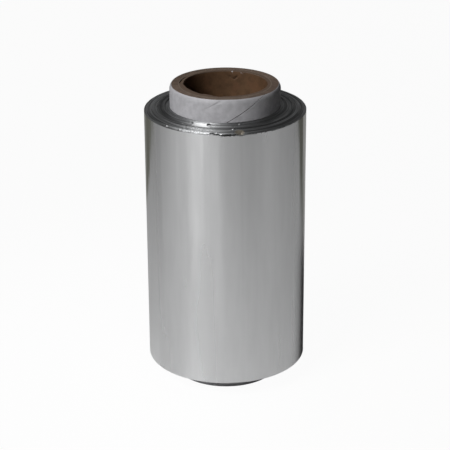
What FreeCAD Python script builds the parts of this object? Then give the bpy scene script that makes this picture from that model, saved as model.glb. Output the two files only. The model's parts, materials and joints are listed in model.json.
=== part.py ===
import FreeCAD, Part
import os

import Sketcher

# An aluminium foil roll standing on its end
# The foil is wound on a spiral paper tube that sticks out of both end faces
# Millimetres and degrees, +Z along the tube's axis, origin at the centre of the lower end


# Driving sizes

SIZES = {
    # The tube, from the spindle hole outwards
    "bore_diameter": 38.0,
    "liner_thickness": 1.6,
    "board_thickness": 3.9,
    "cover_thickness": 0.5,
    "tube_length": 140.0,
    # The rolled-in ends of the tube: the board's edge radius, and how far down it starts
    "curl_radius": 2.7,
    "curl_height": 2.13,
    # The helical seams of the outer cover and of the inner liner
    "ply_pitch": 88.0,
    "cover_seam_gap": 0.35,
    "cover_seam_azimuth": 312.0,
    "liner_seam_gap": 1.0,
    "liner_seam_azimuth": 168.0,
    # The winding, whose inner turns ride up out of line by the telescope
    "roll_diameter": 73.0,
    "web_width": 120.0,
    "lower_stub": 8.5,
    "telescope": 1.7,
    # The spiral line between groups of turns, pressed into both end faces
    "line_turns": 6.0,
    "line_width": 0.35,
    "line_depth": 0.4,
    "line_inner_margin": 0.9,
    "line_outer_margin": 0.6,
}

# Flat facets that make up each curl's quarter round
CURL_FACETS = 2

# Radii and heights that several pieces share, as expressions on the sheet
BORE = "Sizes.bore_diameter / 2"
LINER_OUTER = BORE + " + Sizes.liner_thickness"
BOARD_OUTER = LINER_OUTER + " + Sizes.board_thickness"
COVER_OUTER = BOARD_OUTER + " + Sizes.cover_thickness"
ROLL_OUTER = "Sizes.roll_diameter / 2"
FOOT = "0"
TOP = "Sizes.tube_length"
CURL_CENTRE = BOARD_OUTER + " - Sizes.curl_radius"
BOARD_CURL = "Sizes.curl_radius"
COVER_CURL = "Sizes.curl_radius + Sizes.cover_thickness"

# The end faces of the winding, cones that fall outwards
WINDING_BUILD = "(" + ROLL_OUTER + " - (" + COVER_OUTER + "))"
OUTER_TURN_LOW = "Sizes.lower_stub"
OUTER_TURN_HIGH = "Sizes.lower_stub + Sizes.web_width"
FALL = "Sizes.telescope / " + WINDING_BUILD
LINE_TRAVEL = "(" + WINDING_BUILD + " - Sizes.line_inner_margin - Sizes.line_outer_margin)"


doc = FreeCAD.newDocument("foil_roll")


def make_sheet():
    """Put each driving size in a cell of its own, with its name as alias."""
    table = doc.addObject("Spreadsheet::Sheet", "Sizes")
    for row, (alias, number) in enumerate(SIZES.items(), start=1):
        cell = "B" + str(row)
        table.set("A" + str(row), alias)
        table.set(cell, str(number))
        table.setAlias(cell, alias)
    doc.recompute()
    return table


sheet = make_sheet()


def worth(expression):
    """Return the number that an expression on the sheet stands for."""
    return float(sheet.evalExpression(expression))


def origin_feature(body, role):
    """Find one of the body's own origin planes or axes by its role."""
    return [item for item in body.Origin.OriginFeatures if item.Role == role][0]


def new_body(name):
    """Start a sub-part whose label is the name of its file."""
    body = doc.addObject("PartDesign::Body", name)
    body.Label = name
    body.Placement = FreeCAD.Placement()
    doc.recompute()
    return body


# Sketches in the plane of radius and height

def hold(sketch, kind, edge, expression):
    """Hold one coordinate of an edge's start to an expression on the sheet."""
    index = sketch.addConstraint(Sketcher.Constraint(kind, -1, 1, edge, 1, worth(expression)))
    sketch.setExpression("Constraints[" + str(index) + "]", expression)


def outline(body, name, corners):
    """Sketch a closed outline through corners, each a radius and a height."""
    sketch = body.newObject("Sketcher::SketchObject", name)
    sketch.AttachmentSupport = [(origin_feature(body, "XZ_Plane"), "")]
    sketch.MapMode = "FlatFace"
    spots = [FreeCAD.Vector(worth(radius), worth(height), 0) for radius, height in corners]
    for start, finish in zip(spots, spots[1:] + spots[:1]):
        sketch.addGeometry(Part.LineSegment(start, finish), False)
    for edge, (radius, height) in enumerate(corners):
        before = (edge - 1) % len(corners)
        sketch.addConstraint(Sketcher.Constraint("Coincident", before, 2, edge, 1))
        hold(sketch, "DistanceX", edge, radius)
        hold(sketch, "DistanceY", edge, height)
    doc.recompute()
    return sketch


def curl_corners(curl_radius, at_top):
    """Follow a wall's outside from where its curl starts to the tube's flush cut."""
    corners = []
    for facet in range(CURL_FACETS + 1):
        rise = "Sizes.curl_height * " + str(facet / CURL_FACETS)
        radius = CURL_CENTRE + " + sqrt((" + curl_radius + ")^2 - (" + rise + ")^2)"
        low = "Sizes.curl_height - " + rise
        high = TOP + " - Sizes.curl_height + " + rise
        corners.append((radius, high if at_top else low))
    return corners


def curled_wall(curl_radius):
    """Follow a wall's outside all the way, from the tube's foot to its top."""
    return curl_corners(curl_radius, False)[::-1] + curl_corners(curl_radius, True)


# Features

def turn(body, name, corners):
    """Turn an outline right round the tube's axis."""
    solid = body.newObject("PartDesign::Revolution", name)
    solid.Profile = outline(body, name + "_section", corners)
    solid.ReferenceAxis = (origin_feature(body, "Z_Axis"), [""])
    solid.Angle = 360
    doc.recompute()


def new_groove(body, name, mode, corners):
    """Start a cut that carries an outline down a helix, in one of the helix's modes."""
    groove = body.newObject("PartDesign::SubtractiveHelix", name)
    groove.Profile = outline(body, name + "_section", corners)
    groove.ReferenceAxis = (origin_feature(body, "Z_Axis"), [""])
    groove.Mode = mode
    groove.Reversed = True
    return groove


def cut_seam(body, ply, gap, azimuth):
    """Part a ply along the butt seam of the one strip that it is wound from.

    The seam climbs to the right and comes out of the tube's top at the azimuth.
    """
    inside, outside = ply
    start = TOP + " + Sizes.ply_pitch * (1 - " + azimuth + " / 360)"
    low = start + " - " + gap + " / 2"
    high = start + " + " + gap + " / 2"
    corners = [(inside, low), (outside, low), (outside, high), (inside, high)]
    seam = new_groove(body, "seam", "pitch-height-angle", corners)
    seam.setExpression("Pitch", "Sizes.ply_pitch")
    seam.setExpression("Height", start + " + " + gap)
    doc.recompute()


def press_line(body, name, outer_turn, side):
    """Press a spiral line into an end face, the upper one for side 1, the lower for -1."""
    radius = COVER_OUTER + " + Sizes.line_inner_margin"
    face = outer_turn + " + Sizes.telescope - Sizes.line_inner_margin * " + FALL
    # The profile stands as far clear of the face as it is deep, and twice the line's width there
    bottom = (radius, face + " - Sizes.line_depth * " + str(side))
    left = (radius + " - Sizes.line_width", face + " + Sizes.line_depth * " + str(side))
    right = (radius + " + Sizes.line_width", face + " + Sizes.line_depth * " + str(side))
    line = new_groove(body, name, "height-turns-growth", [bottom, right, left])
    line.setExpression("Turns", "Sizes.line_turns")
    line.setExpression("Growth", LINE_TRAVEL + " / Sizes.line_turns")
    line.setExpression("Height", LINE_TRAVEL + " * " + FALL)
    doc.recompute()


# Sub-parts

def make_liner():
    """The inner ply, which lines the spindle hole and is cut off flush with the board."""
    body = new_body("liner_ply")
    turn(body, "liner_tube", [(BORE, FOOT), (LINER_OUTER, FOOT), (LINER_OUTER, TOP), (BORE, TOP)])
    ply = (BORE + " - Sizes.liner_thickness", LINER_OUTER + " + Sizes.liner_thickness")
    cut_seam(body, ply, "Sizes.liner_seam_gap", "Sizes.liner_seam_azimuth")
    return body


def make_board():
    """The board plies, glued into one wall whose outer edge is rolled in at both ends."""
    body = new_body("core_tube")
    turn(body, "board_tube", [(LINER_OUTER, FOOT)] + curled_wall(BOARD_CURL) + [(LINER_OUTER, TOP)])
    return body


def make_cover():
    """The pale outer ply, which follows the board round the curl at both ends."""
    body = new_body("cover_ply")
    turn(body, "cover_tube", curled_wall(COVER_CURL) + curled_wall(BOARD_CURL)[::-1])
    ply = (CURL_CENTRE, COVER_OUTER + " + Sizes.curl_radius")
    cut_seam(body, ply, "Sizes.cover_seam_gap", "Sizes.cover_seam_azimuth")
    return body


def make_winding():
    """All the turns of foil as one solid, with their spiral line on both end faces.

    Every turn is as wide as the web, so the lower face is hollow by as much as the
    upper one stands up.
    """
    body = new_body("foil_winding")
    corners = [
        (COVER_OUTER, OUTER_TURN_LOW + " + Sizes.telescope"),
        (ROLL_OUTER, OUTER_TURN_LOW),
        (ROLL_OUTER, OUTER_TURN_HIGH),
        (COVER_OUTER, OUTER_TURN_HIGH + " + Sizes.telescope"),
    ]
    turn(body, "wound_foil", corners)
    press_line(body, "upper_line", OUTER_TURN_HIGH, 1)
    press_line(body, "lower_line", OUTER_TURN_LOW, -1)
    return body


def check(parts):
    """Stop unless every object worked out and every sub-part is one sound solid."""
    for item in doc.Objects:
        if "Invalid" in item.State or "Error" in item.State:
            raise RuntimeError(item.Name + " did not recompute: " + ", ".join(item.State))
    for part in parts:
        shape = part.Shape
        if shape.isNull() or not shape.isValid() or len(shape.Solids) != 1:
            raise RuntimeError(part.Label + " is not one sound solid")
        steps = [item for item in part.Group if item.isDerivedFrom("PartDesign::Feature")]
        for before, after in zip(steps, steps[1:]):
            if not 0 < after.Shape.Volume < before.Shape.Volume:
                raise RuntimeError(after.Name + " cut nothing, or everything")


parts = [make_liner(), make_board(), make_cover(), make_winding()]
doc.recompute()
check(parts)

os.makedirs("parts", exist_ok=True)
for part in parts:
    part.Shape.exportStep("parts/" + part.Label + ".step")
    print(part.Label, round(part.Shape.Volume, 1), "cubic millimetres")
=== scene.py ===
import json
import math
import random
from math import radians

import bpy
from mathutils import Euler, Matrix, Vector


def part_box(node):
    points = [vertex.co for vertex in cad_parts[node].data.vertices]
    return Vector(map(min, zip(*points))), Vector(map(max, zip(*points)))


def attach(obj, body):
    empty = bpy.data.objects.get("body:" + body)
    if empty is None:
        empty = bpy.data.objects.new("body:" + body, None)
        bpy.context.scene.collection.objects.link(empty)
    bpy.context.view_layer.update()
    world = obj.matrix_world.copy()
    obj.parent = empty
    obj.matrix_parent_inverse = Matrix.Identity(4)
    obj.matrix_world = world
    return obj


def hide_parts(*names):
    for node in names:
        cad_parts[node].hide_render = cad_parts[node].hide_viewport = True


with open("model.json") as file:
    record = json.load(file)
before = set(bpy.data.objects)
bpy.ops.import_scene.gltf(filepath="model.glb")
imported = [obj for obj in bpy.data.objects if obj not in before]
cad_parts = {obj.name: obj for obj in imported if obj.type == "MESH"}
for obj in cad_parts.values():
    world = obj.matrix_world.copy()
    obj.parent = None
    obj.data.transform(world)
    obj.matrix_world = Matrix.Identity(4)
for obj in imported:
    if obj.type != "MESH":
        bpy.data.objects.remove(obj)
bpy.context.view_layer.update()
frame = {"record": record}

bl_info = {
    "name": "Aluminium foil roll",
    "version": (1, 0, 0),
    "blender": (4, 5, 0),
    "location": "3D View > Sidebar > Foil roll",
    "description": "A small roll of plain aluminium foil on a spiral paper tube, stood on its end",
    "category": "Add Mesh",
}


# Sizes that come from the frame, in metres

FOIL_LOW, FOIL_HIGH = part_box("foil_winding")
BOARD_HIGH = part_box("core_tube")[1]
COVER_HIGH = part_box("cover_ply")[1]
LINER_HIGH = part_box("liner_ply")[1]
MOUNTS = {mount["name"]: mount for mount in frame["record"]["mounts"]}

MM = 0.001
BORE_RADIUS = MOUNTS["spindle_bore"]["dims"]["r_mm"] * MM
LINER_RADIUS = LINER_HIGH.x
BOARD_RADIUS = BOARD_HIGH.x
COVER_RADIUS = COVER_HIGH.x
ROLL_RADIUS = FOIL_HIGH.x
TUBE_TOP = BOARD_HIGH.z

DOUBLES = 0.002 * MM
"""Vertices nearer to each other than this are merged."""
CLEARANCE = 0.01 * MM
"""How far a piece stays clear of its neighbour and of the tube's cut ends."""
SHARP = radians(40)
"""Edges that fold more than this are left sharp."""
PHOTO_SIDE = radians(-90)
"""Azimuth, from +X, of the side that faces the camera."""


def length(name, description, default):
    """A length that a user may change; its default is given in millimetres."""
    return bpy.props.FloatProperty(name=name, description=description, default=default * MM, unit="LENGTH")


def angle(name, description, default):
    """An angle that a user may change; its default is given in degrees."""
    turn = radians(default)
    return bpy.props.FloatProperty(name=name, description=description, default=turn, subtype="ANGLE")


def colour(name, description, default):
    """A colour that a user may change."""
    return bpy.props.FloatVectorProperty(
        name=name, description=description, default=default, min=0, max=1, subtype="COLOR")


class FoilRollSizes(bpy.types.PropertyGroup):
    """Sizes of the roll that the frame doesn't give."""

    telescope: length("Telescope", "How far the innermost turns ride up over the outermost", 1.7)
    curl_radius: length("Curl radius", "Radius of the board's rolled-in edge at the tube's ends", 2.7)
    curl_height: length("Curl height", "How far from the flush cut the curl starts", 2.13)
    ply_pitch: length("Ply pitch", "Climb of each paper strip in one turn round the tube", 88)
    cover_gap: length("Cover seam", "Gap along the axis between the cover strip's edges", 0.42)
    cover_azimuth: angle("Cover seam azimuth", "Where the cover's seam comes out of the tube's top", 312)
    liner_gap: length("Liner seam", "Gap along the axis between the liner strip's edges", 0.35)
    liner_azimuth: angle("Liner seam azimuth", "Where the liner's seam comes out of the tube's top", 168)
    crease_rise: length("Crease", "How far above its seam the cover is creased, along the axis", 10.95)
    crease_depth: length("Crease depth", "How deep the cover's crease is pressed in", 0.13)
    turn_spacing: length("Turn spacing", "Distance between the fine spiral ridges on the end faces", 0.62)


class FoilRollColours(bpy.types.PropertyGroup):
    """Colours of the roll's materials."""

    foil: colour("Foil", "Bright aluminium of the outermost turn", (0.86, 0.865, 0.87))
    foil_edge: colour("Foil edges", "Slit edges of the turns on the end faces", (0.66, 0.67, 0.68))
    stain: colour("Stain", "Warm stain in the dent at the top face's edge", (0.98, 0.87, 0.70))
    cover: colour("Cover paper", "Pale outer strip of the tube", (0.415, 0.410, 0.428))
    board: colour("Board", "Brown recycled board of the tube's wall", (0.158, 0.112, 0.084))
    liner: colour("Liner paper", "Brown inner strip of the tube", (0.104, 0.056, 0.028))
    liner_red: colour("Liner clouds", "Redder clouds in the inner strip", (0.145, 0.070, 0.036))
    glue: colour("Glue line", "Pale line between the liner and the board", (0.20, 0.16, 0.125))


# Numbers

def steps_between(start, end, count):
    """Evenly spaced numbers from start to end, both included."""
    return [start + (end - start) * step / count for step in range(count + 1)]


def smooth(low, high, value):
    """Rise from 0 to 1 as value goes from low to high, level at both ends."""
    part = min(max((value - low) / (high - low), 0), 1)
    return part * part * (3 - 2 * part)


def bump_at(centre, width, value):
    """A soft bump of height 1 at centre, gone at width either side."""
    return 1 - smooth(0, width, abs(value - centre))


def bump_round(mark, azimuth):
    """A soft bump round the roll; the mark gives its centre and half width in degrees."""
    centre, width = mark
    return bump_at(radians(centre), radians(width), azimuth)


def stretch_round(mark, azimuth):
    """Rise to 1 and fall again round the roll, between the mark's four azimuths in degrees."""
    start, full, fading, end = [radians(degrees) for degrees in mark]
    return smooth(start, full, azimuth) * (1 - smooth(fading, end, azimuth))


def points_of(mesh):
    """Each vertex's place, ready to move, with its distance from the roll's axis and its azimuth."""
    for vertex in mesh.vertices:
        yield vertex.co, vertex.co.to_2d().length, math.atan2(vertex.co.y, vertex.co.x)


def move_radially(place, factor):
    """Move a point towards the roll's axis or away from it, by a factor of its distance."""
    place.x *= factor
    place.y *= factor


DRIFT_VALUES = 509


class Drift:
    """A smooth, seeded, endless run of values between -1 and 1."""

    def __init__(self, seed):
        draw = random.Random(seed)
        self.values = [draw.uniform(-1, 1) for _ in range(DRIFT_VALUES)]

    def at(self, place):
        """The value at a place, eased between whole numbers."""
        whole = math.floor(place)
        first = self.values[whole % DRIFT_VALUES]
        second = self.values[(whole + 1) % DRIFT_VALUES]
        return first + (second - first) * smooth(0, 1, place - whole)


# Modelling helpers

def name_piece(name):
    """Name the object just added, and its mesh."""
    piece = bpy.context.object
    piece.name = name
    piece.data.name = name
    return piece


def turn_profile(name, profile, steps):
    """Build a ring-shaped solid by extruding a ring round a closed profile of (radius, height)."""
    radius, height = profile[0]
    bpy.ops.object.select_all(action="DESELECT")
    bpy.ops.mesh.primitive_circle_add(vertices=steps, radius=radius, location=(0, 0, height))
    piece = name_piece(name)
    bpy.ops.object.transform_apply(location=True, rotation=True, scale=True)
    bpy.ops.object.mode_set(mode="EDIT")
    bpy.ops.mesh.select_mode(type="EDGE")
    bpy.ops.mesh.select_all(action="SELECT")
    for before, after in zip(profile, profile[1:] + profile[:1]):
        next_ring(before, after)
    merge_doubles()
    bpy.ops.mesh.normals_make_consistent(inside=False)
    bpy.ops.object.mode_set(mode="OBJECT")
    return piece


def next_ring(before, after):
    """Extrude the selected ring from one radius and height to the next."""
    bpy.ops.mesh.extrude_edges_move(TRANSFORM_OT_translate={"value": (0, 0, after[1] - before[1])})
    factor = after[0] / before[0]
    bpy.ops.transform.resize(value=(factor, factor, 1), center_override=(0, 0, 0))


def merge_doubles():
    """Merge doubled vertices of the whole mesh in edit mode."""
    bpy.ops.mesh.select_all(action="SELECT")
    bpy.ops.mesh.remove_doubles(threshold=DOUBLES)


def finish_piece(piece, slot, node, *materials):
    """Give a piece its materials, shade it, hang it on the roll and let it stand for its CAD node."""
    for material in materials:
        piece.data.materials.append(material)
    bpy.ops.object.select_all(action="DESELECT")
    piece.select_set(True)
    bpy.context.view_layer.objects.active = piece
    bpy.ops.object.shade_smooth_by_angle(angle=SHARP)
    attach(piece, "root")
    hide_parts(node)


# Node helpers

def new_material(name):
    """Start a material with an empty node tree but for its surface and output."""
    material = bpy.data.materials.new(name)
    material.use_nodes = True
    tree = material.node_tree
    tree.nodes.clear()
    surface = put(tree, "ShaderNodeBsdfPrincipled")
    put(tree, "ShaderNodeOutputMaterial", {"Surface": surface.outputs["BSDF"]})
    return material, tree, surface


def feed(tree, socket, value):
    """Link a socket to another one, or set it to a value."""
    if isinstance(value, bpy.types.NodeSocket):
        tree.links.new(value, socket)
    else:
        socket.default_value = value


def put(tree, kind, inputs=None, **settings):
    """Add a node, set its properties, and set or link its inputs."""
    node = tree.nodes.new(kind)
    for name, value in settings.items():
        setattr(node, name, value)
    for name, value in (inputs or {}).items():
        feed(tree, node.inputs[name], value)
    return node


def sums(tree, operation, first, second=0.0, clamp=False):
    """A maths node on two values or sockets."""
    inputs = {0: first, 1: second}
    return put(tree, "ShaderNodeMath", inputs, operation=operation, use_clamp=clamp).outputs[0]


def times(tree, first, second):
    """The product of two values or sockets."""
    return sums(tree, "MULTIPLY", first, second)


def weighed(tree, first, first_weight, second, second_weight):
    """Two sockets added up, each by its weight."""
    return sums(tree, "ADD", times(tree, first, first_weight), times(tree, second, second_weight))


def vectors(tree, operation, inputs, output="Value"):
    """A vector maths node."""
    return put(tree, "ShaderNodeVectorMath", inputs, operation=operation).outputs[output]


def apart(tree, first, second):
    """Distance between two places."""
    return vectors(tree, "DISTANCE", {0: first, 1: second})


def ease(tree, value, low, high, to_low=0.0, to_high=1.0):
    """Map a socket smoothly from one range to another, level beyond it."""
    inputs = {"Value": value, "From Min": low, "From Max": high, "To Min": to_low, "To Max": to_high}
    return put(tree, "ShaderNodeMapRange", inputs, interpolation_type="SMOOTHSTEP").outputs["Result"]


def noise(tree, place, scale, detail, roughness=0.5, distortion=0.0):
    """Soft noise at a place, between 0 and 1."""
    return put(tree, "ShaderNodeTexNoise", {
        "Vector": place, "Scale": scale, "Detail": detail, "Roughness": roughness,
        "Distortion": distortion}).outputs[0]


def stretched(tree, place, scale):
    """A place scaled along each axis, to draw a pattern out."""
    return put(tree, "ShaderNodeMapping", {"Vector": place, "Scale": scale}).outputs[0]


def blend(tree, share, first, second):
    """Mix two colours by a share."""
    node = put(tree, "ShaderNodeMix", {0: share, 6: first, 7: second}, data_type="RGBA")
    return node.outputs[2]


def rgba(colour, level=1.0):
    """A property's colour as four numbers, dimmed or raised by a level."""
    return (colour[0] * level, colour[1] * level, colour[2] * level, 1.0)


def object_place(tree):
    """The shaded place, in object coordinates."""
    return put(tree, "ShaderNodeTexCoord").outputs["Object"]


def axes_of(tree, place):
    """The X, Y and Z of a place."""
    parts = put(tree, "ShaderNodeSeparateXYZ", {"Vector": place}).outputs
    return parts["X"], parts["Y"], parts["Z"]


def radius_of(tree, place):
    """Distance of a place from the roll's axis."""
    x, y, _ = axes_of(tree, place)
    return sums(tree, "SQRT", sums(tree, "ADD", sums(tree, "POWER", x, 2.0), sums(tree, "POWER", y, 2.0)))


def height_of(tree):
    """Height of the shaded place."""
    return axes_of(tree, object_place(tree))[2]


def kept(tree, name):
    """A value that the mesh keeps at each of its points."""
    return put(tree, "ShaderNodeAttribute", attribute_name=name).outputs["Fac"]


def coat(tree, surface, shade, roughness, relief, strength, depth):
    """Give a surface its colour, its roughness and its relief."""
    bump = put(tree, "ShaderNodeBump", {"Height": relief, "Strength": strength, "Distance": depth})
    feed(tree, surface.inputs["Base Color"], shade)
    feed(tree, surface.inputs["Roughness"], roughness)
    feed(tree, surface.inputs["Normal"], bump.outputs[0])


def make_metal(tree, surface):
    """Make a surface of rolled metal, whose reflections are drawn out along the roll."""
    for name, value in (("Metallic", 1.0), ("Anisotropic", 0.8), ("Anisotropic Rotation", 0.25)):
        surface.inputs[name].default_value = value
    tangent = put(tree, "ShaderNodeTangent", direction_type="RADIAL", axis="Z").outputs[0]
    feed(tree, surface.inputs["Tangent"], tangent)


PAPER_GROUP = "paper_fibres"


def make_paper_group():
    """Fibres and mottling that all three papers of the tube share."""
    group = bpy.data.node_groups.new(PAPER_GROUP, "ShaderNodeTree")
    for name, value in (("Grain", 900), ("Cloud", 160)):
        given = group.interface.new_socket(name, in_out="INPUT", socket_type="NodeSocketFloat")
        given.default_value = value
    for name in ("Mottle", "Fleck", "Relief"):
        group.interface.new_socket(name, in_out="OUTPUT", socket_type="NodeSocketFloat")
    given = put(group, "NodeGroupInput").outputs
    place = object_place(group)
    cloud = noise(group, place, given["Cloud"], 4.0, 0.6)
    grain = noise(group, place, given["Grain"], 3.0, 0.65)
    fleck = noise(group, stretched(group, place, (1.0, 1.0, 4.0)), given["Grain"], 1.0, distortion=1.2)
    put(group, "NodeGroupOutput", {
        "Mottle": ease(group, cloud, 0.3, 0.7), "Fleck": ease(group, fleck, 0.62, 0.72),
        "Relief": weighed(group, grain, 0.6, cloud, 0.4)})


def use_paper(tree, grain, cloud):
    """Place the paper group with a scale for its grain and one for its clouds, and give its outputs."""
    inputs = {"Grain": grain, "Cloud": cloud}
    return put(tree, "ShaderNodeGroup", inputs, node_tree=bpy.data.node_groups[PAPER_GROUP]).outputs


# The foil; marks are given in degrees of azimuth, with their centre and half width,
# or with where they start, are full, start to fade and end

WINDING_STEPS = 720
FACE_RINGS = 84
FOOT_RINGS = 24
WALL_RINGS = 14
FACE_SLACK = 0.05 * MM
"""How far under its greatest height the outermost turn's edge lies."""
WALL_EDGES = (0.08 * MM, 0.25 * MM)
"""How far from the end faces the wall's first two rings lie."""
WALL_INSET = 0.005 * MM
WALL_DEPTH = 0.02 * MM
"""Vertices less than this inside the full radius belong to the wall."""
END_FACE_TILT = 0.35
"""Faces whose normal has more than this along the axis belong to the end faces."""
GROUPS = (
    (25.0, 0.12), (26.1, -0.14), (27.1, 0.10), (28.3, -0.06), (29.5, -0.14), (30.3, 0.16),
    (31.1, -0.05), (32.3, 0.07), (33.2, -0.07), (34.4, 0.06), (35.3, -0.03))
"""Radius where each group of turns starts, and how far it stands proud of an even cone, in millimetres."""
HOLLOW = (-3.5, 12, 14, 52)
"""Where the wall's hollow lies, in degrees to the right of the camera."""
FOLD_START, FOLD_END = radians(-119.8), radians(-107)
FOLD_RADII = (27.2 * MM, 29.8 * MM)
"""Where a few turns are folded over outwards and burnished."""
SCUFF = (-114, 14)
EDGE_TEAR = (-98, 6.5)
EDGE_SLACK = (-86, 9)
HAIRLINE = (-150, -125, -48, -20)
FRAYED = (-95.4, 1.6)
BY_FOLD = (-102.5, 4)
KNOCKED = (-96, -91, -89, -81)
KNOCK_DEPTH = 0.36 * MM
# One thin arc of turns on the top face that gets a painted highlight.
PAINTED_HIGHLIGHT_ARC = (-45, -42, -26, -14)
GAP_MARGIN = 0.2 * MM
# How much further the tear's painted shade reaches than its depth.
"""How much further the tear's dark reaches than its depth."""
DENT_AZIMUTH = radians(-79.5)
"""Where the edge is dented and its turns are stained warm."""
BURR_HEIGHT = 0.34 * MM
BURR_WIDTH = 0.48 * MM
BURRS = (
    (-123.6, 27.6), (-124, 35.7), (-42.7, 29.6), (-38.2, 36.0), (-77, 27.4), (-128, 30.2),
    (-136, 35.4), (-84, 31.4), (-96, 34.2), (-101, 35.3))
"""Azimuth and radius of single burrs on the top face, in degrees and millimetres."""


class FOILROLL_OT_wind_foil(bpy.types.Operator):
    """Wind the foil: a satin wall, and end faces stepped where groups of turns stand proud"""

    bl_idname = "foilroll.wind_foil"
    bl_label = "Wind foil"

    def execute(self, context):
        sizes = context.scene.foil_roll_sizes
        piece = turn_profile("foil_turns", winding_profile(sizes), WINDING_STEPS)
        shape_winding(piece.data, sizes)
        for face in piece.data.polygons:
            by_tube = face.center.to_2d().length < COVER_RADIUS + 0.2 * MM
            face.material_index = 1 if abs(face.normal.z) > END_FACE_TILT or by_tube else 0
        colours = context.scene.foil_roll_colours
        finish_piece(piece, "foil", "foil_winding", make_foil_wall(colours), make_foil_edges(colours))
        return {"FINISHED"}


def outer_edge(sizes):
    """Height of the outermost turn's top edge before the turns are shaped."""
    return FOIL_HIGH.z - sizes.telescope - FACE_SLACK


def winding_profile(sizes):
    """Rings of the winding: over the top face, down the wall, under the foot face."""
    inner = COVER_RADIUS + CLEARANCE
    outer = ROLL_RADIUS - 0.04 * MM
    high = outer_edge(sizes)
    low = FOIL_LOW.z
    near, further = WALL_EDGES
    closer_outwards = [share * (1.35 - 0.35 * share) for share in steps_between(0, 1, FACE_RINGS)]
    top = [(inner + (outer - inner) * share, high) for share in closer_outwards]
    heights = [high - near] + steps_between(high - further, low + further, WALL_RINGS) + [low + near]
    wall = [(ROLL_RADIUS - WALL_INSET, height) for height in heights]
    foot = [(radius, low) for radius in steps_between(outer, inner, FOOT_RINGS)]
    return top + wall + foot


def shape_winding(mesh, sizes):
    """Raise and sink the turns on both end faces, and let the wall breathe a little.

    Where the edge gapes, which the material paints as shade, where the turns are scuffed, and where they are
    burnished, with a painted highlight on one thin arc, is kept for the material.
    """
    gap, scuff, burnish_and_painted_shine = [mesh.attributes.new(name, "FLOAT", "POINT") for name in ("gap", "scuff", "burnish_and_painted_shine")]
    along, ragged, fine, wave = [Drift(seed) for seed in (3, 7, 19, 23)]
    middle = (FOIL_LOW.z + FOIL_HIGH.z) / 2
    wall_top = outer_edge(sizes) - WALL_EDGES[0]
    for index, (place, radius, azimuth) in enumerate(points_of(mesh)):
        if radius < ROLL_RADIUS - WALL_DEPTH:
            place.z += turns_lift(radius, azimuth, sizes, along)
            if place.z > middle:
                # Kept for painted shade: the material paints the gaps nearly black.
                gap.data[index].value = edge_gap(radius, azimuth, ragged, GAP_MARGIN)
                scuff.data[index].value = scuffed(radius, azimuth)
                burnish_and_painted_shine.data[index].value = burnished(radius, azimuth)
                place.z += top_marks(radius, azimuth, ragged, fine)
        else:
            place.z -= edge_drop(azimuth) * smooth(wall_top - 1.5 * MM, wall_top, place.z)
            move_radially(place, 1 - wall_sway(azimuth, place.z, wave) / ROLL_RADIUS)


def turns_lift(radius, azimuth, sizes, along):
    """How far the turns at a radius stand above the outermost turn's edge."""
    share = (radius - COVER_RADIUS) / (ROLL_RADIUS - COVER_RADIUS)
    lift = sizes.telescope * (1 - share) ** 0.8
    for (start, height), (_, before) in zip(GROUPS[1:], GROUPS):
        wander = 0.07 * MM * along.at(azimuth * 1.3 + start * 7.7)
        step = smooth(-0.12 * MM, 0.12 * MM, radius - start * MM - wander)
        lift += (height - before) * MM * step
    turn = (radius - COVER_RADIUS) / sizes.turn_spacing - azimuth / math.tau
    uneven = along.at(math.floor(turn) * 9.7 + azimuth * 0.8)
    return lift + 0.055 * MM * uneven * smooth(0, 0.15, turn % 1)


def wall_sway(azimuth, height, wave):
    """How far the slack outer turn lies in from the full radius, with one shallow hollow by its top."""
    broad = wave.at(azimuth * 4.3 + height * 7) * 0.6
    narrow = wave.at(100 + azimuth * 11 + height * 13) * 0.55 + wave.at(300 + azimuth * 27 + height * 6) * 0.5
    turned = azimuth - PHOTO_SIDE
    across = stretch_round(HOLLOW, turned)
    lip = bump_round((-5, 3), turned)
    by_top = smooth(80 * MM, 112 * MM, height)
    return max(0.01, 0.05 * (1 + broad + narrow) + by_top * (0.27 * across - 0.03 * lip)) * MM


def top_marks(radius, azimuth, ragged, fine):
    """Height of the handling marks on the top face: folded turns, crumples, nicks and burrs."""
    return (folded_turns(radius, azimuth, fine) + crumpled_turns(radius, azimuth, ragged, fine)
            + nicked_edge(radius, azimuth, ragged, fine) + single_burrs(radius, azimuth))


def prong(radius):
    """How far the fold runs on past its end, in two thin prongs."""
    inner_prong = 3 * bump_at(27.4 * MM, 0.6 * MM, radius)
    outer_prong = 6 * bump_at(29.4 * MM, 0.6 * MM, radius)
    return radians(1.5 + inner_prong + outer_prong)


def folded_turns(radius, azimuth, fine):
    """A few turns folded over outwards, so that they slope towards the light."""
    start = FOLD_START + radians(1.5) * fine.at(radius / MM * 2)
    along = smooth(start - radians(0.6), start + radians(0.6), azimuth)
    along *= 1 - smooth(FOLD_END + prong(radius) * 0.5, FOLD_END + prong(radius), azimuth)
    across = (radius - FOLD_RADII[0]) / (FOLD_RADII[1] - FOLD_RADII[0])
    if along == 0 or across < 0 or across > 1:
        return 0
    return 0.75 * MM * along * smooth(0, 0.08, across) * (1 - across)


def scuffed(radius, azimuth):
    """Share of scuffing between the fold and the edge."""
    here = bump_round(SCUFF, azimuth) ** 0.5
    return here * smooth(ROLL_RADIUS - 6.8 * MM, ROLL_RADIUS - 5.2 * MM, radius)


def burnished(radius, azimuth):
    """Share of burnishing on the fold and on the burrs, and of painted highlight on one thin arc of turns."""
    fold = smooth(FOLD_START - radians(0.8), FOLD_START + radians(0.8), azimuth)
    fold *= 1 - smooth(FOLD_END, FOLD_END + prong(radius), azimuth)
    fold *= 0.55 * bump_at(sum(FOLD_RADII) / 2, 2 * MM, radius) ** 0.3
    # Painted highlight: this arc is painted as bright foil, in place of the highlight of its slope.
    arc = 0.8 * stretch_round(PAINTED_HIGHLIGHT_ARC, azimuth) * bump_at(29.6 * MM, 0.45 * MM, radius)
    return max(fold, arc, single_burrs(radius, azimuth) / BURR_HEIGHT)


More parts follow.
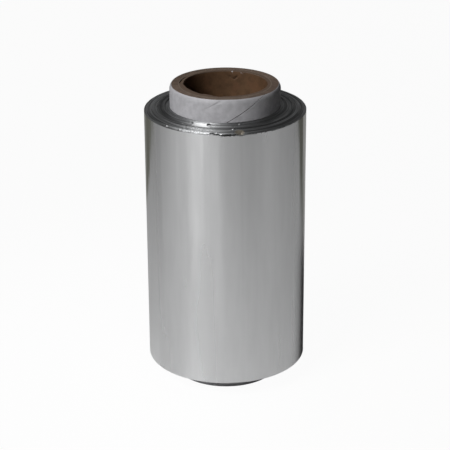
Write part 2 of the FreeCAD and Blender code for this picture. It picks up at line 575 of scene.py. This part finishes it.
def crumpled_turns(radius, azimuth, ragged, fine):
    """Crumples beside the fold, out to the edge, and the dent in the edge."""
    here = scuffed(radius, azimuth)
    dent = bump_at(DENT_AZIMUTH, radians(4), azimuth)
    dent *= smooth(ROLL_RADIUS - 5 * MM, ROLL_RADIUS - 1.5 * MM, radius)
    if here == 0 and dent == 0:
        return 0
    facets = fine.at(azimuth * 62 + radius * 2100) + ragged.at(azimuth * 41 - radius * 2600)
    small = fine.at(200 + azimuth * 150 - radius * 3300) + ragged.at(300 - azimuth * 170 - radius * 2900)
    leaning = 0.08 * (1 - smooth(ROLL_RADIUS - 6.5 * MM, ROLL_RADIUS + 1 * MM, radius))
    dented = dent * (0.10 * facets + 0.05 * small - 0.33)
    return ((0.065 * facets + 0.035 * small + leaning) * here + dented) * MM


def edge_gap(radius, azimuth, ragged, margin=0.0):
    """Share of the dark gap behind the outermost turn: a scalloped tear, then wide, then a hairline.

    A second, short gap lies between the fold's prongs. The material paints the share as shade, nearly black.
    """
    tear = bump_round(EDGE_TEAR, azimuth)
    slack = bump_round(EDGE_SLACK, azimuth)
    hairline = stretch_round(HAIRLINE, azimuth) * (1 - 0.8 * scuffed(radius, azimuth))
    scallop = abs(math.sin(azimuth * 33 + 1.2 * ragged.at(azimuth * 15)))
    middle = (0.40 + 0.26 * slack + 1.3 * tear * scallop + 0.07 * ragged.at(azimuth * 19)) * MM
    half_width = (0.22 + 0.30 * slack + 0.05 * tear + 0.05 * ragged.at(30 + azimuth * 27)) * MM
    half_width += margin * tear
    from_edge = ROLL_RADIUS - radius
    share = 1 - smooth(half_width, half_width + 0.10 * MM, abs(from_edge - middle))
    # Painted shade: the torn edge outside the tear's gap is darkened, and sunk a little.
    shaded = 0.3 * tear * (1 - smooth(middle - 0.1 * MM, middle, from_edge))
    # The short gap between the fold's prongs is painted as shade, with a little depth.
    by_fold = bump_at(28.4 * MM, 0.5 * MM, radius) * bump_round(BY_FOLD, azimuth)
    return max(share * max(tear, slack, hairline), shaded, 0.7 * by_fold)


def edge_drop(azimuth):
    """How far the outermost turns' edge is pushed down where it was knocked."""
    return KNOCK_DEPTH * stretch_round(KNOCKED, azimuth)


def nicked_edge(radius, azimuth, ragged, fine):
    """The outermost turn stands off behind the gap, and its edge ends ragged where it tore."""
    from_edge = ROLL_RADIUS - radius
    depth = (0.32 + 0.12 * ragged.at(50 + azimuth * 7)) * (1 - 0.85 * bump_round(EDGE_TEAR, azimuth)) * MM
    frayed = (0.012 * abs(fine.at(azimuth * 55)) + 0.16 * bump_round(FRAYED, azimuth)) * MM
    frayed *= 1 - smooth(0.1 * MM, 0.3 * MM, from_edge)
    dropped = edge_drop(azimuth) * (1 - smooth(0.3 * MM, 0.9 * MM, from_edge))
    return -depth * edge_gap(radius, azimuth, ragged) - frayed - dropped


def single_burrs(radius, azimuth):
    """Tiny burrs that stand up from single turns."""
    height = 0
    for burr_azimuth, burr_radius in BURRS:
        offset = Vector((radius - burr_radius * MM, radius * (azimuth - radians(burr_azimuth))))
        height += BURR_HEIGHT * (1 - smooth(0, BURR_WIDTH, offset.length))
    return height


def make_foil_wall(colours):
    """The outermost turn: near-mirror foil whose rolling lines draw reflections out along the roll."""
    material, tree, surface = new_material("foil_wall")
    make_metal(tree, surface)
    drawn_out = stretched(tree, object_place(tree), (1.0, 1.0, 0.12))
    bands = noise(tree, drawn_out, 70.0, 2.0, distortion=0.3)
    streaks = noise(tree, drawn_out, 420.0, 2.0)
    tone = ease(tree, weighed(tree, bands, 0.7, streaks, 0.3), 0.35, 0.65)
    shade = blend(tree, tone, rgba(colours.foil, 0.93), rgba(colours.foil))
    facing = put(tree, "ShaderNodeLayerWeight", {"Blend": 0.5}).outputs["Facing"]
    rough = ease(tree, bands, 0.3, 0.7, 0.265, 0.315)
    rough = times(tree, rough, ease(tree, facing, 0.48, 0.72, 1.0, 0.5))
    relief = sums(tree, "ADD", bands, times(tree, streaks, 0.06))
    coat(tree, surface, shade, rough, relief, 0.35, 0.4 * MM)
    return material


def make_foil_edges(colours):
    """Slit edges of hundreds of turns: dark, streaked round the roll, with bright glints."""
    material, tree, surface = new_material("foil_edges")
    make_metal(tree, surface)
    place = object_place(tree)
    radius = radius_of(tree, place)
    x, y, _ = axes_of(tree, stretched(tree, place, (0.02, 0.02, 0.0)))
    ring_place = put(tree, "ShaderNodeCombineXYZ", {"X": x, "Y": y, "Z": radius}).outputs[0]
    rings = noise(tree, ring_place, 1500.0, 3.0, 0.65)
    tone = weighed(tree, rings, 0.55, noise(tree, ring_place, 420.0, 1.0), 0.45)
    edge = colours.foil_edge
    shade = blend(tree, ease(tree, tone, 0.40, 0.60), rgba(edge, 0.36), rgba(edge, 1.15))
    outer = ease(tree, radius, ROLL_RADIUS - 7 * MM, ROLL_RADIUS - 3 * MM, 0.84, 1.28)
    scuff = kept(tree, "scuff")
    flakes = ease(tree, noise(tree, place, 1500.0, 2.0), 0.42, 0.58, 0.38, 0.85)
    dulled = times(tree, outer, ease(tree, scuff, 0.0, 0.8, 1.0, flakes))
    shade = vectors(tree, "SCALE", {0: shade, "Scale": dulled}, "Vector")
    # Painted highlight on one arc, besides the scuffed, folded and burred foil shown bare.
    bared_and_painted_shine = sums(tree, "MAXIMUM", times(tree, scuff, 0.12), kept(tree, "burnish_and_painted_shine"))
    shade = blend(tree, bared_and_painted_shine, shade, rgba(colours.foil))
    shade = blend(tree, stained(tree, place, rings), shade, rgba(colours.stain))
    # Painted shade: the gaps behind the outermost turn are painted nearly black.
    shade = blend(tree, times(tree, kept(tree, "gap"), 0.92), shade, (0, 0, 0, 1))
    rough = sums(tree, "ADD", ease(tree, rings, 0.3, 0.7, 0.46, 0.56), times(tree, scuff, 0.18))
    coat(tree, surface, shade, rough, tone, 0.9, 0.09 * MM)
    return material


def stained(tree, place, rings):
    """Share of the warm stain round the dent, broken up by the turns."""
    dent = Vector((math.cos(DENT_AZIMUTH), math.sin(DENT_AZIMUTH), 0)) * (ROLL_RADIUS - 2.4 * MM)
    dent.z = FOIL_HIGH.z - 1.7 * MM
    stain = ease(tree, apart(tree, place, dent), 1.4 * MM, 2.7 * MM, 0.95, 0.0)
    return times(tree, stain, ease(tree, rings, 0.42, 0.58, 0.65, 1.0))


# The tube

STRIP_STEPS = 320
STRIP_TURNS = 3
STRIP_ROWS = 24
CURL_ROWS = 7
TUBE_STEPS = 384
PLY_THICKNESS = 0.55 * MM
PLY_GROOVE = 0.09 * MM
COVER_THINNING = 0.7
UNTHINNED = (-86, 12)
"""How much thinner the cover gets where the curl ends, and where it doesn't."""
MOUTH_PRESSED = (0.04, 0.018)
"""Share by which the tube's mouth is pressed flat at the front and at the back."""
SEAM_DRAG = radians(4.5)
CREASE = (-118, -100, -88, -84)
CREASE_FLANKS = (0.45 * MM, 1.4 * MM)
"""How far the crease's flanks reach above and below it."""
CREASE_REACH = 1.8 * MM
CREASE_ROWS = 18
LOOSE_POINT = (138, 166, 175, 179)
"""Where the liner's pointed end comes off the board."""
RIM_INSET = (
    (-180, 0.35), (-164, 0.9), (-150, 1.1), (-138, 0.95), (-125, 0.6), (-119, 1.2), (-110, 0.9), (-104, 0),
    (-97.5, -0.55), (-89, 0.15), (-78, 0.25), (-60, 0.05), (0, 0), (150, 0), (180, 0.35))
"""How far the swollen liner stands in at its top edge, by azimuth, in degrees and millimetres."""
TEAR = ((88, 138.3), (83, 137.3), (77, 136.3), (73.8, 137.1), (72, 137.9))
TEAR_DEPTHS = (0.35, 0.45, 0.95, 0.55)
# Corners of a torn fold in the liner, in degrees and millimetres, and how deep its relief and how dark its
# painted shade are between them.
"""Corners of a torn fold in the liner, in degrees and millimetres, and how dark it is between them."""
FLECKS = ((80, 139.85, 0.62, 1.0), (67, 139.3, 0.34, 0.35), (64.5, 139.1, 0.26, 0.3))
"""Azimuth, height, size and paleness of bare spots under the liner's rim, in degrees and millimetres."""


def curl_in(radius, azimuth, height, sizes):
    """Radius of a point on the tube's wall once its ends are rolled in."""
    centre = BOARD_RADIUS - sizes.curl_radius
    from_end = min(height, TUBE_TOP - height)
    rise = max(sizes.curl_height - from_end, 0)
    if rise == 0 or radius <= centre:
        return radius
    full = COVER_RADIUS - centre
    outside = math.sqrt(full * full - rise * rise)
    thickness = COVER_RADIUS - BOARD_RADIUS
    thinning = COVER_THINNING * (1 - bump_round(UNTHINNED, azimuth))
    thinned = thickness * (1 - thinning * (rise / sizes.curl_height) ** 2)
    if radius >= BOARD_RADIUS:
        return centre + outside - thinned * (COVER_RADIUS - radius) / thickness
    return centre + (outside - thinned) * (radius - centre) / sizes.curl_radius


def curl_ends(mesh, sizes):
    """Roll in the wall's outside at both ends."""
    for place, radius, azimuth in points_of(mesh):
        move_radially(place, curl_in(radius, azimuth, place.z, sizes) / radius)


def press_mouth(mesh):
    """Press the tube's mouth a little out of round, more at the front than at the back."""
    for vertex in mesh.vertices:
        pressed = MOUTH_PRESSED[0] if vertex.co.y < 0 else MOUTH_PRESSED[1]
        vertex.co.y *= 1 - pressed * by_top(9 * MM, vertex.co.z, 2 * MM)


def by_top(reach, height, past=0):
    """Rise from 0 at a reach below the tube's top to 1 at the top, or past it."""
    return smooth(TUBE_TOP - reach, TUBE_TOP + past, height)


def rows_of_height(sizes):
    """Heights between the cut ends at which the tube's wall gets an edge loop, all in the curls."""
    curl = steps_between(0, sizes.curl_height, CURL_ROWS)[1:]
    return curl + [TUBE_TOP - height for height in reversed(curl)]


def wind_strip(name, outer, gap, azimuth, sizes, extra_rows=()):
    """Wind one paper strip right-handed up the tube, and cut it off flush at both ends.

    The strip's seam comes out of the tube's top at the azimuth.
    """
    pitch = sizes.ply_pitch
    start = TUBE_TOP + pitch * (1 - azimuth / math.tau) - STRIP_TURNS * pitch
    rows = sorted(steps_between(gap / 2, pitch - gap / 2, STRIP_ROWS) + list(extra_rows))
    bpy.ops.object.select_all(action="DESELECT")
    bpy.ops.mesh.primitive_plane_add(size=1, location=(0, 0, 0))
    strip = name_piece(name)
    bpy.ops.object.mode_set(mode="EDIT")
    bpy.ops.mesh.select_mode(type="VERT")
    bpy.ops.mesh.select_all(action="SELECT")
    bpy.ops.mesh.merge(type="CENTER")
    bpy.ops.transform.translate(value=(outer, 0, start + rows[0]))
    for below, above in zip(rows, rows[1:]):
        bpy.ops.mesh.extrude_vertices_move(TRANSFORM_OT_translate={"value": (0, 0, above - below)})
    bpy.ops.object.mode_set(mode="OBJECT")
    wound = strip.modifiers.new("wind", "SCREW")
    wound.axis = "Z"
    wound.screw_offset = pitch
    wound.iterations = STRIP_TURNS
    wound.steps = STRIP_STEPS
    wound.render_steps = STRIP_STEPS
    wound.use_smooth_shade = True
    bpy.ops.object.modifier_apply(modifier=wound.name)
    bpy.ops.object.mode_set(mode="EDIT")
    trim(CLEARANCE, clear_inner=True)
    trim(TUBE_TOP - CLEARANCE, clear_outer=True)
    for height in rows_of_height(sizes):
        trim(height)
    return strip


def trim(height, clear_inner=False, clear_outer=False):
    """Cut the whole mesh in edit mode level at a height, and clear one side if asked."""
    bpy.ops.mesh.select_all(action="SELECT")
    bpy.ops.mesh.bisect(
        plane_co=(0, 0, height), plane_no=(0, 0, 1), clear_inner=clear_inner, clear_outer=clear_outer,
        threshold=DOUBLES)


def thicken(piece, thickness):
    """Give a strip its paper's thickness, inwards from its outer face."""
    merge_doubles()
    bpy.ops.object.mode_set(mode="OBJECT")
    for face in piece.data.polygons:
        if face.normal.to_2d().dot(face.center.to_2d()) < 0:
            face.flip()
    wall = piece.modifiers.new("paper", "SOLIDIFY")
    wall.thickness = thickness
    wall.offset = -1
    bpy.ops.object.modifier_apply(modifier=wall.name)


def drag_seam(mesh, sizes):
    """Drag the strip's top edge round, so that its seam runs on straight through the curl."""
    for vertex in mesh.vertices:
        share = by_top(sizes.curl_height, vertex.co.z, sizes.curl_height) * 2
        vertex.co.rotate(Euler((0, 0, SEAM_DRAG * share * share)))


def press_crease(mesh, sizes):
    """Press the cover's soft crease in, above its seam, where it comes out of the tube's rim."""
    above, below = CREASE_FLANKS
    for place, radius, azimuth in points_of(mesh):
        if radius < COVER_RADIUS - 0.1 * MM or place.z < TUBE_TOP - 12 * MM:
            continue
        climbed = sizes.ply_pitch * (azimuth + math.tau - sizes.cover_azimuth) / math.tau
        above_seam = place.z - TUBE_TOP - climbed
        fold = bump_at(sizes.crease_rise, above if above_seam > sizes.crease_rise else below, above_seam)
        deeper = 1 + 0.8 * by_top(3 * MM, place.z)
        depth = sizes.crease_depth * deeper * stretch_round(CREASE, azimuth) * fold
        move_radially(place, 1 - depth / radius)


class FOILROLL_OT_wrap_cover(bpy.types.Operator):
    """Wrap the tube's pale cover strip, with its open seam, its crease and its rolled-in ends"""

    bl_idname = "foilroll.wrap_cover"
    bl_label = "Wrap cover"

    def execute(self, context):
        sizes = context.scene.foil_roll_sizes
        rise = sizes.crease_rise
        crease_rows = steps_between(rise - CREASE_REACH, rise + CREASE_REACH, CREASE_ROWS)
        outer = COVER_RADIUS - 0.06 * MM
        piece = wind_strip("cover_strip", outer, sizes.cover_gap, sizes.cover_azimuth, sizes, crease_rows)
        thicken(piece, COVER_RADIUS - BOARD_RADIUS - 0.08 * MM)
        drag_seam(piece.data, sizes)
        press_crease(piece.data, sizes)
        curl_ends(piece.data, sizes)
        press_mouth(piece.data)
        finish_piece(piece, "cover_paper", "cover_ply", make_cover_paper(context.scene.foil_roll_colours))
        return {"FINISHED"}


class FOILROLL_OT_form_board(bpy.types.Operator):
    """Form the tube's board wall, whose cut ends show the edges of its plies"""

    bl_idname = "foilroll.form_board"
    bl_label = "Form board"

    def execute(self, context):
        sizes = context.scene.foil_roll_sizes
        piece = turn_profile("board_wall", board_profile(sizes), TUBE_STEPS)
        curl_ends(piece.data, sizes)
        press_mouth(piece.data)
        finish_piece(piece, "board", "core_tube", make_board(context.scene.foil_roll_colours))
        return {"FINISHED"}


def board_profile(sizes):
    """Rings of the board: across the plies at the top, down the outside and back under the foot."""
    outer = BOARD_RADIUS - CLEARANCE
    radius = LINER_RADIUS + CLEARANCE
    plies = []
    while radius + PLY_THICKNESS < outer:
        next_ply = radius + PLY_THICKNESS
        plies += [(radius, 0), (next_ply - 0.12 * MM, 0), (next_ply - 0.06 * MM, PLY_GROOVE)]
        radius = next_ply
    plies.append((outer, 0))
    top = [(radius, TUBE_TOP - CLEARANCE - depth) for radius, depth in plies]
    outside = [(outer, height) for height in reversed(rows_of_height(sizes))]
    foot = [(radius, CLEARANCE + depth) for radius, depth in reversed(plies)]
    return top + outside + foot


class FOILROLL_OT_line_bore(bpy.types.Operator):
    """Line the spindle hole with its brown strip, whose seam leaves a notch in the rim"""

    bl_idname = "foilroll.line_bore"
    bl_label = "Line bore"

    def execute(self, context):
        sizes = context.scene.foil_roll_sizes
        outer = LINER_RADIUS - 0.005 * MM
        piece = wind_strip("liner_strip", outer, sizes.liner_gap, sizes.liner_azimuth, sizes)
        thicken(piece, LINER_RADIUS - BORE_RADIUS - 0.02 * MM)
        wear_liner(piece.data)
        press_mouth(piece.data)
        finish_piece(piece, "liner_paper", "liner_ply", make_liner_paper(context.scene.foil_roll_colours))
        return {"FINISHED"}


def rim_inset(azimuth):
    """The liner's stand-in at an azimuth, eased between the listed ones."""
    turned = math.degrees(azimuth)
    for (before, first), (after, second) in zip(RIM_INSET, RIM_INSET[1:]):
        if turned <= after:
            return (first + (second - first) * smooth(before, after, turned)) * MM
    return RIM_INSET[-1][1] * MM


def wear_liner(mesh):
    """Swell and chip the liner's inner top edge, and let its pointed end come off the board by the seam."""
    drift = Drift(31)
    for place, radius, azimuth in points_of(mesh):
        if radius < BORE_RADIUS + 0.1 * MM:
            moved = 0.08 * MM * abs(drift.at(azimuth * 14)) * by_top(1.6 * MM, place.z)
            moved -= rim_inset(azimuth) * by_top(6 * MM, place.z)
        else:
            loose = stretch_round(LOOSE_POINT, azimuth)
            moved = -0.3 * MM * loose * by_top(2 * MM, place.z)
            place.z -= 0.35 * MM * loose * smooth(TUBE_TOP - 0.1 * MM, TUBE_TOP - 0.02 * MM, place.z)
        move_radially(place, 1 + moved / radius)


def make_cover_paper(colours):
    """Pale machine-finished paper with cloudy fibres and a few darker ones, and a painted highlight along its
    top cut edge.
    """
    material, tree, surface = new_material("cover_paper")
    cover = colours.cover
    paper = use_paper(tree, 1300.0, 330.0)
    shade = blend(tree, paper["Mottle"], rgba(cover, 0.89), rgba(cover, 1.09))
    shade = blend(tree, times(tree, paper["Fleck"], 0.18), shade, rgba(cover, 0.5))
    # Painted highlight: the cover is painted paler along its top cut edge.
    painted_rim_highlight = ease(tree, height_of(tree), TUBE_TOP - 0.75 * MM, TUBE_TOP - 0.35 * MM, 0.0, 0.7)
    shade = blend(tree, painted_rim_highlight, shade, rgba(cover, 1.14))
    coat(tree, surface, shade, 0.55, paper["Relief"], 0.5, 0.08 * MM)
    return material


def make_board(colours):
    """Recycled brown board, with a pale glue line where it meets the liner at the cut ends."""
    material, tree, surface = new_material("board")
    paper = use_paper(tree, 1500.0, 300.0)
    shade = blend(tree, paper["Mottle"], rgba(colours.board, 0.8), rgba(colours.board, 1.15))
    shade = blend(tree, glue_line(tree), shade, rgba(colours.glue))
    coat(tree, surface, shade, 0.8, paper["Relief"], 0.8, 0.12 * MM)
    return material


def glue_line(tree):
    """Share of the pale line between the board and the liner, on the top cut end alone."""
    radius = radius_of(tree, object_place(tree))
    off_line = sums(tree, "ABSOLUTE", sums(tree, "SUBTRACT", radius, LINER_RADIUS + 0.05 * MM))
    at_end = ease(tree, height_of(tree), TUBE_TOP - 0.5 * MM, TUBE_TOP - 0.2 * MM)
    return times(tree, ease(tree, off_line, 0.15 * MM, 0.35 * MM, 0.8, 0.0), at_end)


def on_bore(azimuth, height):
    """A point on the bore's wall, from degrees and millimetres."""
    turned = radians(azimuth)
    return Vector((BORE_RADIUS * math.cos(turned), BORE_RADIUS * math.sin(turned), height * MM))


def from_line(tree, place, start, end):
    """Distance of the shaded place from the line between two points."""
    along = end - start
    offset = vectors(tree, "SUBTRACT", {0: place, 1: start}, "Vector")
    reach = vectors(tree, "DOT_PRODUCT", {0: offset, 1: along})
    share = sums(tree, "DIVIDE", reach, along.length_squared, clamp=True)
    foot = vectors(tree, "SCALE", {0: along, "Scale": share}, "Vector")
    return apart(tree, offset, foot)


def make_liner_paper(colours):
    """Brown recycled paper: clouds, a torn fold with painted shade along it, bare spots, and board and glue
    showing at the cut end.
    """
    material, tree, surface = new_material("liner_paper")
    surface.inputs["Specular IOR Level"].default_value = 0.25
    liner = colours.liner
    place = object_place(tree)
    paper = use_paper(tree, 1100.0, 260.0)
    clouds = ease(tree, noise(tree, place, 170.0, 3.0), 0.5, 0.68, 0.0, 0.45)
    shade = blend(tree, paper["Mottle"], rgba(liner, 0.82), rgba(liner, 1.15))
    shade = blend(tree, clouds, shade, rgba(colours.liner_red))
    relief = paper["Relief"]
    for first, second, depth in zip(TEAR, TEAR[1:], TEAR_DEPTHS):
        distance = from_line(tree, place, on_bore(*first), on_bore(*second))
        # Painted shade: the torn fold's lines are darkened, besides their relief.
        torn = ease(tree, distance, 0.10 * MM, 0.34 * MM, depth, 0.0)
        shade = blend(tree, torn, shade, rgba(liner, 0.25))
        relief = sums(tree, "ADD", relief, ease(tree, distance, 0.1 * MM, 0.9 * MM, -2.0 * depth, 0.0))
    for azimuth, level, size, paleness in FLECKS:
        distance = apart(tree, place, on_bore(azimuth, level))
        bare = ease(tree, distance, size * 0.7 * MM, size * 1.1 * MM, paleness, 0.0)
        shade = blend(tree, bare, shade, rgba(colours.cover, 1.6))
    cut_end = ease(tree, height_of(tree), TUBE_TOP - 0.45 * MM, TUBE_TOP - 0.25 * MM, 0.0, 0.85)
    shade = blend(tree, cut_end, shade, rgba(colours.board, 0.95))
    shade = blend(tree, glue_line(tree), shade, rgba(colours.glue))
    coat(tree, surface, shade, 0.7, relief, 0.8, 0.12 * MM)
    return material


# The studio

CAMERA_PLACE = Vector((0, -0.7082, 0.3694))
CAMERA_AIM = Vector((-0.0004, 0, 0.0714))
CAMERA_TILT = -0.0059
CAMERA_LENS = 132.91
LAMP_PLACE = Vector((-0.706, -0.784, 0.950))
LAMP_AIM = Vector((0, 0, 0.09))
LAMP_SIZE = 0.6
LAMP_POWER = 16.5
FLOOR_SIZE = 6
FLOOR_DROP = 0.05 * MM
FLOOR_WHITE = 0.96
"""How far the camera sees the floor as plain white."""
CLOSE_LEFT, CLOSE_RIGHT = (0.97, 0.97, 0.97, 1), (0.70, 0.68, 0.64, 1)
WIDE_LEFT, WIDE_RIGHT = (0.30, 0.30, 0.30, 1), (0.14, 0.135, 0.12, 1)
# The floor's colours for soft light, close to the roll and wide of it: painted light and shade, palest close
# by on the left, dimmer wide of the roll and to the right.
"""The floor's colours for soft light, close to the roll and wide of it."""
BACKDROP_DIM, BACKDROP_PALE = (0.24, 0.24, 0.205, 1), (0.75, 0.75, 0.72, 1)
# Painted reflection: what the foil mirrors beyond the pale sheet, to the sides and straight behind.
"""What the foil mirrors beyond the pale sheet, to the sides and straight behind."""
SHEET_BACK = 195 * MM
SHEET_SIDE = 105 * MM
"""How far behind the roll the pale sheet ends in the foil's reflections, and starts to end at its side."""
PAINTED_SHEET_NEAR = (
    (-180, 0.70), (-125, 0.70), (-90, 0.78), (-36, 0.81), (0, 0.86), (40, 0.84), (60, 0.81), (110, 0.77),
    (180, 0.77))
PAINTED_SHEET_FAR = (
    (-180, 0.53), (-125, 0.52), (-98, 0.45), (-85, 0.56), (-66, 0.56), (-55, 0.48), (-22, 0.49), (-7, 0.74),
    (1, 0.54), (36, 0.58), (48, 0.74), (62, 0.93), (85, 0.84), (180, 0.84))
# Painted light and shade in the foil's reflections: how pale the sheet is painted round the roll, near it and
# far from it, by degrees to the right of the camera.
"""How pale the sheet is round the roll, near it and far from it, by degrees to the right of the camera."""
FILL_STRENGTH = 0.035
FILL_MIRRORED, BEHIND_MIRRORED = 0.06, 0.50
"""How bright the foil mirrors the world around it, and behind the roll."""


class FOILROLL_OT_set_stage(bpy.types.Operator):
    """Set the pale floor, the soft lamp, the world and the camera"""

    bl_idname = "foilroll.set_stage"
    bl_label = "Set stage"

    def execute(self, context):
        lay_floor()
        hang_lamp()
        light_world(context.scene)
        place_camera(context.scene)
        context.scene.view_settings.view_transform = "Standard"
        return {"FINISHED"}


def lay_floor():
    """A wide pale floor under the roll, with painted light and shade for soft light and a painted reflection
    for the foil; in the foil's reflections it ends not far behind the roll.
    """
    bpy.ops.object.select_all(action="DESELECT")
    bpy.ops.mesh.primitive_plane_add(size=FLOOR_SIZE, location=(0, 0, -FLOOR_DROP))
    floor = bpy.context.object
    floor.name = "floor"
    material, tree, surface = new_material("floor")
    place = object_place(tree)
    x, y, _ = axes_of(tree, place)
    distance = vectors(tree, "LENGTH", {0: place})
    ray = put(tree, "ShaderNodeLightPath").outputs
    plain, mirrored = painted_bounce_floor(tree, x, distance), painted_reflection_floor(tree, x, y, distance)
    shade = blend(tree, ray["Is Glossy Ray"], plain, mirrored)
    tree.links.new(shade, surface.inputs["Base Color"])
    surface.inputs["Roughness"].default_value = 0.9
    surface.inputs["Specular IOR Level"].default_value = 0.0
    white = put(tree, "ShaderNodeEmission", {"Color": (1, 1, 1, 1), "Strength": 1.0})
    whitened = times(tree, ray["Is Camera Ray"], FLOOR_WHITE)
    mixed = put(tree, "ShaderNodeMixShader", {0: whitened, 1: surface.outputs[0], 2: white.outputs[0]})
    tree.links.new(mixed.outputs[0], tree.nodes["Material Output"].inputs["Surface"])
    floor.data.materials.append(material)


def painted_bounce_floor(tree, x, distance):
    """The floor's colour for soft light, painted light and shade: pale near the roll, dimmer away from it and
    to the right.
    """
    close = blend(tree, ease(tree, x, -0.02, 0.06), CLOSE_LEFT, CLOSE_RIGHT)
    wide = blend(tree, ease(tree, x, -0.05, 0.15), WIDE_LEFT, WIDE_RIGHT)
    return blend(tree, ease(tree, distance, 0.07, 0.26), close, wide)


def painted_reflection_floor(tree, x, y, distance):
    """The floor's colour in the foil's reflections, a painted reflection: a pale sheet, painted lighter and
    darker round the roll, that ends against a dim backdrop.
    """
    forward = times(tree, y, -1.0)
    turned = sums(tree, "DIVIDE", sums(tree, "ARCTAN2", x, forward), math.tau)
    turned = sums(tree, "ADD", turned, 0.5)
    near, far = round_levels(tree, turned, PAINTED_SHEET_NEAR), round_levels(tree, turned, PAINTED_SHEET_FAR)
    pale = blend(tree, ease(tree, distance, 0.10, 0.38), near, far)
    slope = sums(tree, "DIVIDE", x, y)
    to_right = ease(tree, slope, 0.0, 0.06)
    by_side = times(tree, to_right, ease(tree, slope, 1.30, 1.43, 1.0, 0.0))
    by_side = times(tree, by_side, ease(tree, y, SHEET_SIDE, SHEET_BACK))
    beyond = sums(tree, "MAXIMUM", ease(tree, y, SHEET_BACK, SHEET_BACK + 8 * MM), by_side)
    behind_right = times(tree, to_right, ease(tree, slope, 0.68, 0.85, 1.0, 0.0))
    behind_left = ease(tree, slope, -0.72, -0.45, 0.0, 0.45)
    behind_left = times(tree, behind_left, ease(tree, slope, 0.0, 0.06, 1.0, 0.0))
    straight_behind = sums(tree, "MAXIMUM", behind_left, behind_right)
    backdrop = blend(tree, straight_behind, BACKDROP_DIM, BACKDROP_PALE)
    return blend(tree, beyond, pale, backdrop)


def round_levels(tree, turned, stops):
    """A grey level round the roll, from stops of degrees and level; turned runs from 0 to 1."""
    node = put(tree, "ShaderNodeValToRGB", {"Fac": turned})
    elements = node.color_ramp.elements
    for degrees, _ in stops[1:-1]:
        elements.new(degrees / 360 + 0.5)
    for element, (degrees, level) in zip(elements, stops):
        element.position = degrees / 360 + 0.5
        element.color = (level, level, level, 1)
    return node.outputs[0]


def hang_lamp():
    """Hang one square soft lamp, which faces the middle of the roll."""
    data = bpy.data.lights.new("key_lamp", "AREA")
    data.shape = "SQUARE"
    data.size = LAMP_SIZE
    data.energy = LAMP_POWER
    lamp = bpy.data.objects.new("key_lamp", data)
    bpy.context.collection.objects.link(lamp)
    lamp.location = LAMP_PLACE
    lamp.rotation_euler = (LAMP_AIM - LAMP_PLACE).to_track_quat("-Z", "Y").to_euler()


def light_world(scene):
    """A weak even fill, white to the camera; the foil mirrors it dim, and paler behind the roll."""
    world = bpy.data.worlds.new("studio")
    scene.world = world
    world.use_nodes = True
    tree = world.node_tree
    tree.nodes.clear()
    ray = put(tree, "ShaderNodeLightPath").outputs
    _, y, z = axes_of(tree, put(tree, "ShaderNodeTexCoord").outputs["Generated"])
    behind = times(tree, ease(tree, y, 0.78, 0.93), ease(tree, z, 0.0, 0.2, 1.0, 0.0))
    mirrored = ease(tree, behind, 0.0, 1.0, FILL_MIRRORED, BEHIND_MIRRORED)
    strength = ease(tree, ray["Is Glossy Ray"], 0.0, 1.0, FILL_STRENGTH, mirrored)
    fill = put(tree, "ShaderNodeBackground", {"Color": (1, 1, 1, 1), "Strength": strength}).outputs[0]
    white = put(tree, "ShaderNodeBackground", {"Color": (1, 1, 1, 1), "Strength": 1.0}).outputs[0]
    mixed = put(tree, "ShaderNodeMixShader", {0: ray["Is Camera Ray"], 1: fill, 2: white}).outputs[0]
    put(tree, "ShaderNodeOutputWorld", {"Surface": mixed})


def place_camera(scene):
    """The photograph's camera: far off, a little above, and turned by a hair."""
    data = bpy.data.cameras.new("camera")
    data.lens = CAMERA_LENS
    data.sensor_width = 36
    data.clip_start = 0.01
    data.clip_end = 20
    camera = bpy.data.objects.new("camera", data)
    bpy.context.collection.objects.link(camera)
    aim = (CAMERA_AIM - CAMERA_PLACE).to_track_quat("-Z", "Y").to_matrix()
    turned = aim @ Euler((0, 0, CAMERA_TILT)).to_matrix()
    camera.matrix_world = Matrix.Translation(CAMERA_PLACE) @ turned.to_4x4()
    scene.camera = camera


class FOILROLL_PT_panel(bpy.types.Panel):
    """Lists the roll's sizes and colours, and its pieces in the order in which they are made"""

    bl_idname = "FOILROLL_PT_panel"
    bl_label = "Foil roll"
    bl_space_type = "VIEW_3D"
    bl_region_type = "UI"
    bl_category = "Foil roll"

    def draw(self, context):
        for group in (context.scene.foil_roll_sizes, context.scene.foil_roll_colours):
            for name in group.__annotations__:
                self.layout.prop(group, name)
        for operator in OPERATORS:
            self.layout.operator(operator.bl_idname)


OPERATORS = (
    FOILROLL_OT_set_stage,
    FOILROLL_OT_wind_foil,
    FOILROLL_OT_form_board,
    FOILROLL_OT_wrap_cover,
    FOILROLL_OT_line_bore,
)
CLASSES = (FoilRollSizes, FoilRollColours) + OPERATORS + (FOILROLL_PT_panel,)


def register():
    """Register the classes and hang the properties on the scene."""
    for item in CLASSES:
        bpy.utils.register_class(item)
    bpy.types.Scene.foil_roll_sizes = bpy.props.PointerProperty(type=FoilRollSizes)
    bpy.types.Scene.foil_roll_colours = bpy.props.PointerProperty(type=FoilRollColours)


def unregister():
    """Take the properties and the classes away again."""
    del bpy.types.Scene.foil_roll_colours
    del bpy.types.Scene.foil_roll_sizes
    for item in reversed(CLASSES):
        bpy.utils.unregister_class(item)


def main():
    """Make the stage and every piece in order."""
    register()
    make_paper_group()
    bpy.ops.foilroll.set_stage()
    bpy.ops.foilroll.wind_foil()
    bpy.ops.foilroll.form_board()
    bpy.ops.foilroll.wrap_cover()
    bpy.ops.foilroll.line_bore()


if __name__ == "__main__":
    main()
